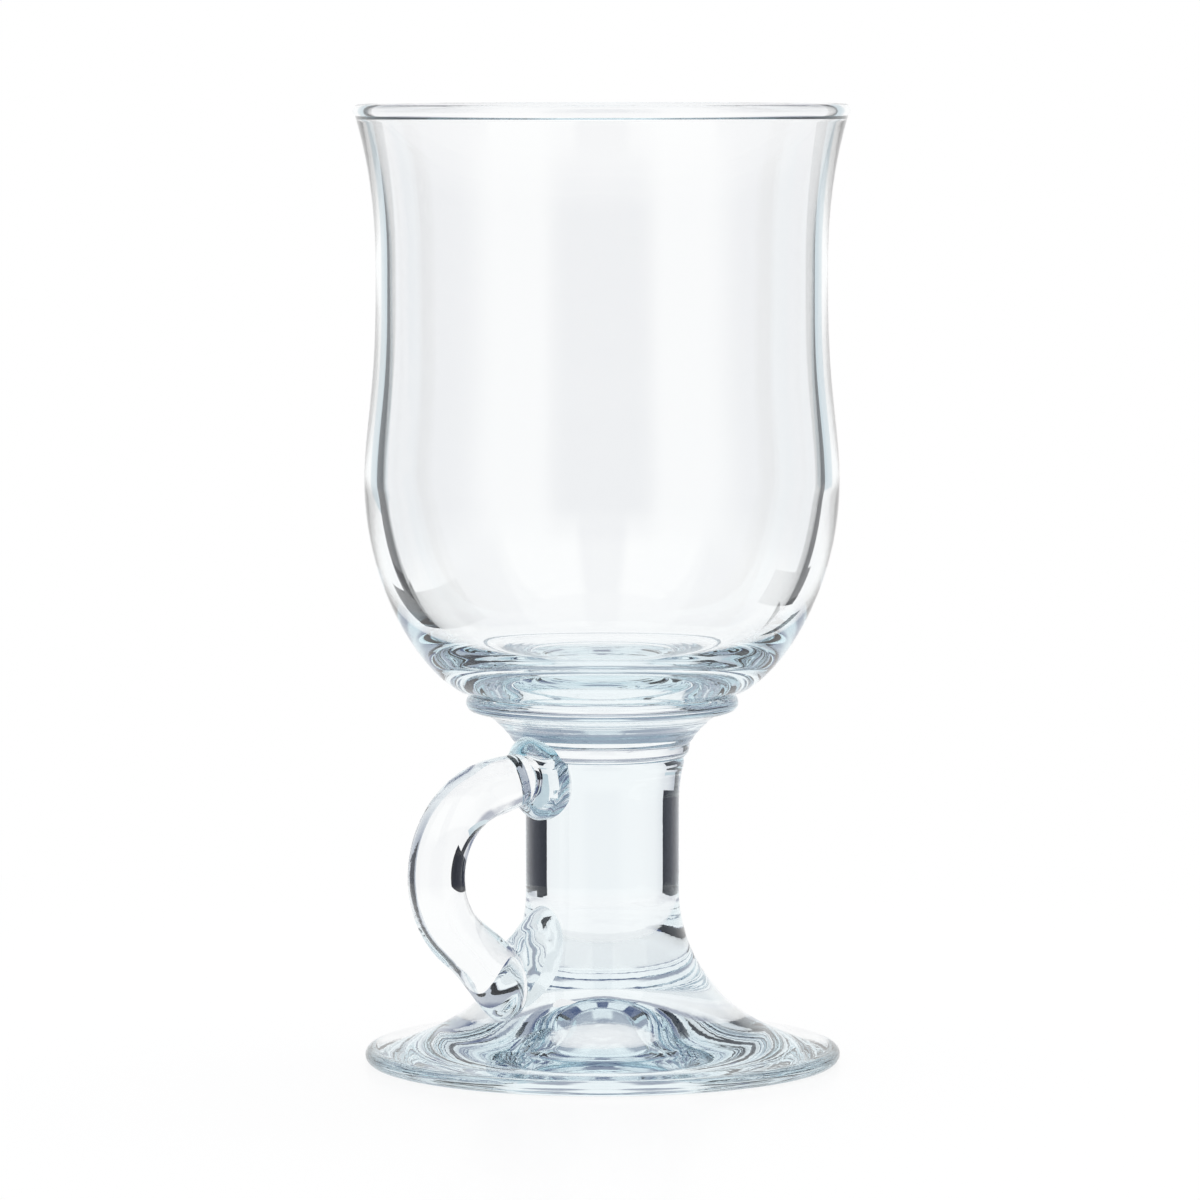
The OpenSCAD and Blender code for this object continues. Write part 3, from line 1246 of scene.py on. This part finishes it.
    def _floor_material(self) -> bpy.types.Material:
        """Builds the floor's white, partly lit by the object and clear to the glass farther out.

        Returns:
            The material.
        """
        material = bpy.data.materials.new("pale floor")
        maker = NodeMaker(material)
        pale = {"Base Color": (*self.floor_colour, 1), "Roughness": 0.2, "Specular IOR Level": 0.4}
        lit = maker.add("ShaderNodeBsdfPrincipled", inputs=pale).outputs[0]
        white = {"Color": (1, 1, 1, 1), "Strength": 1.0}
        glow = maker.add("ShaderNodeEmission", inputs=white).outputs[0]
        clear = maker.add("ShaderNodeBsdfTransparent").outputs[0]
        path = maker.add("ShaderNodeLightPath").outputs
        seen, diffuse, shadow = (
            Value(maker, path[f"Is {kind} Ray"]) for kind in ("Camera", "Diffuse", "Shadow")
        )
        x, y, _ = maker.place()
        far = (x.squared() + y.squared()).root()
        glowing = maker.across(far, self.glow_zone, self.glow_levels) * (1 - diffuse)
        mixed = maker.add("ShaderNodeMixShader", inputs={0: glowing, 1: lit, 2: glow}).outputs[0]
        gone = maker.across(far, self.clear_zone, way="LINEAR") * (1 - (seen + diffuse + shadow))
        ended = maker.add("ShaderNodeMixShader", inputs={0: gone, 1: mixed, 2: clear}).outputs[0]
        maker.add("ShaderNodeOutputMaterial", inputs={"Surface": ended})
        return material

    def spot(self, right: float, ahead: float) -> Vector:
        """Place on the table by its distance right of the object and ahead of it."""
        look = -self.toward()
        return Vector((look.y, -look.x, 0)) * right + look * ahead

    def stand(self, card: Card) -> None:
        """Stands one card beside the object.

        Args:
            card: The card.
        """
        start, stop = (self.spot(card.right, ahead) for ahead in card.ahead)
        low, high = card.heights
        where, along = (start + stop) / 2 + UP * ((low + high) / 2), stop - start
        turn = (math.pi / 2, 0, math.atan2(along.y, along.x))
        deselect()
        bpy.ops.mesh.primitive_plane_add(size=1, location=where, rotation=turn)
        plane = bpy.context.object
        plane.name, plane.scale = card.name, (along.length, high - low, 1)
        bpy.ops.object.transform_apply(location=True, rotation=True, scale=True)
        material = bpy.data.materials.new(card.name)
        maker = NodeMaker(material)
        light = {"Color": (*card.colour, 1), "Strength": 1.0}
        glow = maker.add("ShaderNodeEmission", inputs=light).outputs[0]
        maker.add("ShaderNodeOutputMaterial", inputs={"Surface": glow})
        plane.data.materials.append(material)
        plane.visible_camera = plane.visible_diffuse = False
        plane.visible_glossy = plane.visible_shadow = False

    def lamp(
        self, name: str, azimuth: float, height: float, distance: float, size: Pair, power: float
    ) -> None:
        """Hangs one soft box that faces the object.

        Args:
            name: The lamp's name.
            azimuth: Its direction from the object, from the camera's own.
            height: Its height.
            distance: How far it is from the axis.
            size: Its width and height.
            power: Its power in watts.
        """
        where = self.toward(azimuth) * distance + UP * height
        aim = UP * self.aim_height - where
        deselect()
        bpy.ops.object.light_add(type="AREA", location=where)
        lamp = bpy.context.object
        lamp.name = name
        lamp.rotation_euler = aim.to_track_quat("-Z", "Y").to_euler()
        lamp.data.shape, lamp.data.size, lamp.data.size_y = "RECTANGLE", *size
        lamp.data.energy = power
        lamp.visible_glossy = lamp.visible_transmission = False

    def build(self) -> None:
        """Sets up the studio."""
        scene = bpy.context.scene
        scene.view_settings.view_transform = "Standard"
        scene.cycles.max_bounces = scene.cycles.transmission_bounces = self.bounces
        scene.cycles.glossy_bounces = scene.cycles.transparent_max_bounces = self.bounces
        self.camera()
        self.world()
        self.floor()
        for card in CARDS:
            self.stand(card)
        self.lamp("top_box", azimuth=150, height=1.1, distance=0.5, size=(0.8, 0.5), power=3)


def make_pads(handle: Handle) -> tuple[Pad, Pad]:
    """Sizes the pads that join the rod's two ends to the stem.

    Args:
        handle: The rod.

    Returns:
        The upper pad and the lower pad.
    """
    upper = Pad(
        "upper_pad", "upper_handle_pad", "pad_glass", Texture.CHILLED,
        start=OUT * 18.5 * MM + UP * 43.9 * MM, lean=handle.upper_lean, start_r=3.4 * MM,
        goal=OUT * 6 * MM + UP * 43.8 * MM, half_height=6.5 * MM, half_width=5.6 * MM,
        lag=0.12, swell=0.42,
    )
    lower = Pad(
        "lower_pad", "lower_handle_pad", "pad_glass", Texture.CHILLED,
        start=OUT * 22.5 * MM + UP * 16.5 * MM, lean=-20, start_r=3.8 * MM,
        goal=OUT * 5 * MM + UP * 16.4 * MM, half_height=9.8 * MM, half_width=5.4 * MM,
        lag=0.1, swell=0.6,
    )
    return upper, lower


def main() -> None:
    """Builds every sub-assembly in order and reports it."""
    logging.basicConfig(level=logging.INFO, format="%(name)s: %(message)s")
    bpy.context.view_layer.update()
    profile = Profile(*(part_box(node)[0].z for node in ("bowl", "collar", "stem")))
    Studio().build()
    collar, stem, foot = Collar(profile), Stem(profile), Foot(profile)
    handle = Handle("bent_rod", "handle", "handle_glass", Texture.DRAWN, profile)
    rod = handle.model()
    pads = {pad: pad.model() for pad in make_pads(handle)}
    graph = bpy.context.evaluated_depsgraph_get()
    shapes = [BVHTree.FromObject(piece, graph) for piece in (*pads.values(), rod)]
    Bowl(profile, rim_z=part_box("bowl")[1].z, mouth_r=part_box("bowl")[1].x).build()
    for gather in (collar, stem, foot):
        gather.build(shapes)
    outline = [(0, 0), *foot.side(), *profile.stem_side()[1:], *collar.outline()[1:]]
    grown = [(r + SEAM if r else 0, z) for r, z in outline]
    for pad, piece in pads.items():
        body = turned("seat_tool", grown, profile.turn_steps)
        pad.seat(piece, [body, handle.model(SEAM)])
    mark_seats(rod, shapes[:2])
    handle.seat(rod, [turned("seat_tool", grown, profile.turn_steps)])


if __name__ == "__main__":
    main()
